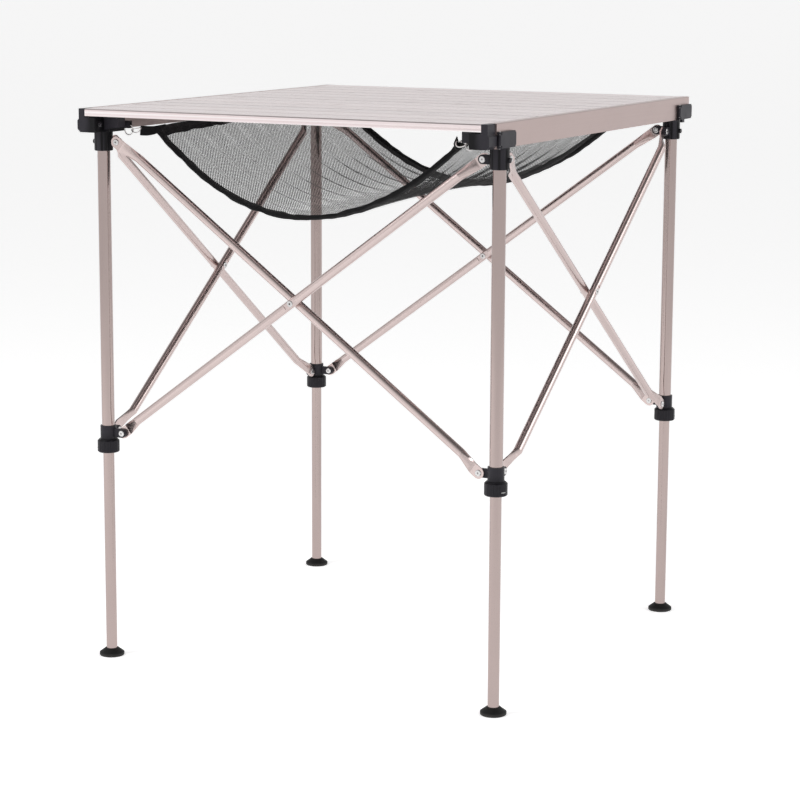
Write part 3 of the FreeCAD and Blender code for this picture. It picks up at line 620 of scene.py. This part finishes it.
def sling():
    """The whole storage sling: mesh, four hems, four straps and four hooks."""
    sheet = sling_sheet()
    pieces = [
        hem("sling_front_hem", sheet, FRONT_HEM_THICKNESS, lambda i, j: j < HEM_CELLS),
        hem("sling_back_hem", sheet, BACK_HEM_THICKNESS, lambda i, j: j >= CELLS_ALONG - HEM_CELLS),
        hem("sling_left_hem", sheet, SIDE_HEM_THICKNESS, lambda i, j: i < HEM_CELLS),
        hem("sling_right_hem", sheet, SIDE_HEM_THICKNESS, lambda i, j: i >= CELLS_ACROSS - HEM_CELLS),
    ]
    for name, (side_x, side_y) in CORNERS.items():
        pieces += corner_strap(name, side_x, side_y)
    modify(sheet, "SUBSURF", levels=1, render_levels=1)
    modify(sheet, "SOLIDIFY", thickness=MESH_THICKNESS, offset=0)
    apply_modifiers(sheet)
    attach(sheet, "tabletop")
    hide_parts("mesh_sling")


def index_mark(name, side_x, side_y):
    """A short printed dash on the outer side of a twist-lock collar."""
    middle = math.atan2(side_y, side_x) - side_x * side_y * MARK_TURN
    radius = COLLAR_RADIUS + MARK_PROUD
    vertices = []
    for k in range(MARK_STEPS + 1):
        angle = middle + MARK_SWEEP * (k / MARK_STEPS - 0.5)
        x = side_x * LEG_HALF_SPACING + radius * math.cos(angle)
        y = side_y * LEG_HALF_SPACING + radius * math.sin(angle)
        vertices += [(x, y, MARK_HEIGHT - MARK_TALL / 2), (x, y, MARK_HEIGHT + MARK_TALL / 2)]
    faces = [(2 * k, 2 * k + 2, 2 * k + 3, 2 * k + 1) for k in range(MARK_STEPS)]
    mark = new_piece(f"lock_mark_{name}", vertices, faces, "mark")
    modify(mark, "SOLIDIFY", thickness=MARK_PROUD * 2, offset=0)
    apply_modifiers(mark)
    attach(mark, f"twist_lock_{name}")


def floor():
    """A plain pale floor that reaches the horizon."""
    corners = [(FLOOR_REACH * x, FLOOR_REACH * y, 0) for x, y in CORNERS.values()]
    paper = Finish("floor_paper", PAPER_WHITE, roughness=0.9)
    paper.tint(paper.remap(paper.noise(3, detail=2), 0.3, 0.7, 0.0, 0.1), (0.9, 0.9, 0.9))
    paper.shader.inputs["Emission Color"].default_value = (1, 1, 1, 1)
    paper.shader.inputs["Emission Strength"].default_value = FLOOR_GLOW
    sheet = new_piece("floor", corners, [(0, 1, 2, 3)])
    sheet.data.materials.append(paper.material)


def sky():
    """Soft white surroundings that fall off overhead."""
    world = bpy.data.worlds.new("studio")
    bpy.context.scene.world = world
    world.use_nodes = True
    tree = world.node_tree
    direction = tree.nodes.new("ShaderNodeTexCoord")
    split = tree.nodes.new("ShaderNodeSeparateXYZ")
    fall = tree.nodes.new("ShaderNodeMapRange")
    for name, amount in SKY_FALL:
        fall.inputs[name].default_value = amount
    tree.nodes["Background"].inputs["Color"].default_value = (1, 1, 1, 1)
    tree.links.new(direction.outputs["Generated"], split.inputs["Vector"])
    tree.links.new(split.outputs["Z"], fall.inputs["Value"])
    tree.links.new(fall.outputs["Result"], tree.nodes["Background"].inputs["Strength"])


def soft_box(name, place, size, power):
    """A large soft light that faces the table."""
    light = bpy.data.lights.new(name, "AREA")
    light.size = size
    light.energy = power
    lamp = bpy.data.objects.new(name, light)
    bpy.context.scene.collection.objects.link(lamp)
    middle = Vector((0, 0, TOP_HEIGHT / 2))
    aim = (middle - Vector(place)).to_track_quat("-Z", "Y")
    lamp.matrix_world = Matrix.Translation(Vector(place)) @ aim.to_matrix().to_4x4()


def studio():
    floor()
    sky()
    for light in SOFT_LIGHTS:
        soft_box(*light)


def camera():
    data = bpy.data.cameras.new("camera")
    data.sensor_width = CAMERA_SENSOR
    data.lens = CAMERA_LENS
    eye = bpy.data.objects.new("camera", data)
    bpy.context.scene.collection.objects.link(eye)
    heading, tilt, roll = (math.radians(angle) for angle in (CAMERA_HEADING, CAMERA_TILT, CAMERA_ROLL))
    forward = Vector(
        (math.cos(tilt) * math.cos(heading), math.cos(tilt) * math.sin(heading), math.sin(tilt))
    )
    aim = Quaternion(-forward, roll) @ forward.to_track_quat("-Z", "Y")
    eye.matrix_world = Matrix.Translation(CAMERA_PLACE) @ aim.to_matrix().to_4x4()
    bpy.context.scene.camera = eye


paint_cad_nodes()
sling()
for corner_name, (corner_x, corner_y) in CORNERS.items():
    index_mark(corner_name, corner_x, corner_y)
studio()
camera()
bpy.context.scene.view_settings.view_transform = "Standard"
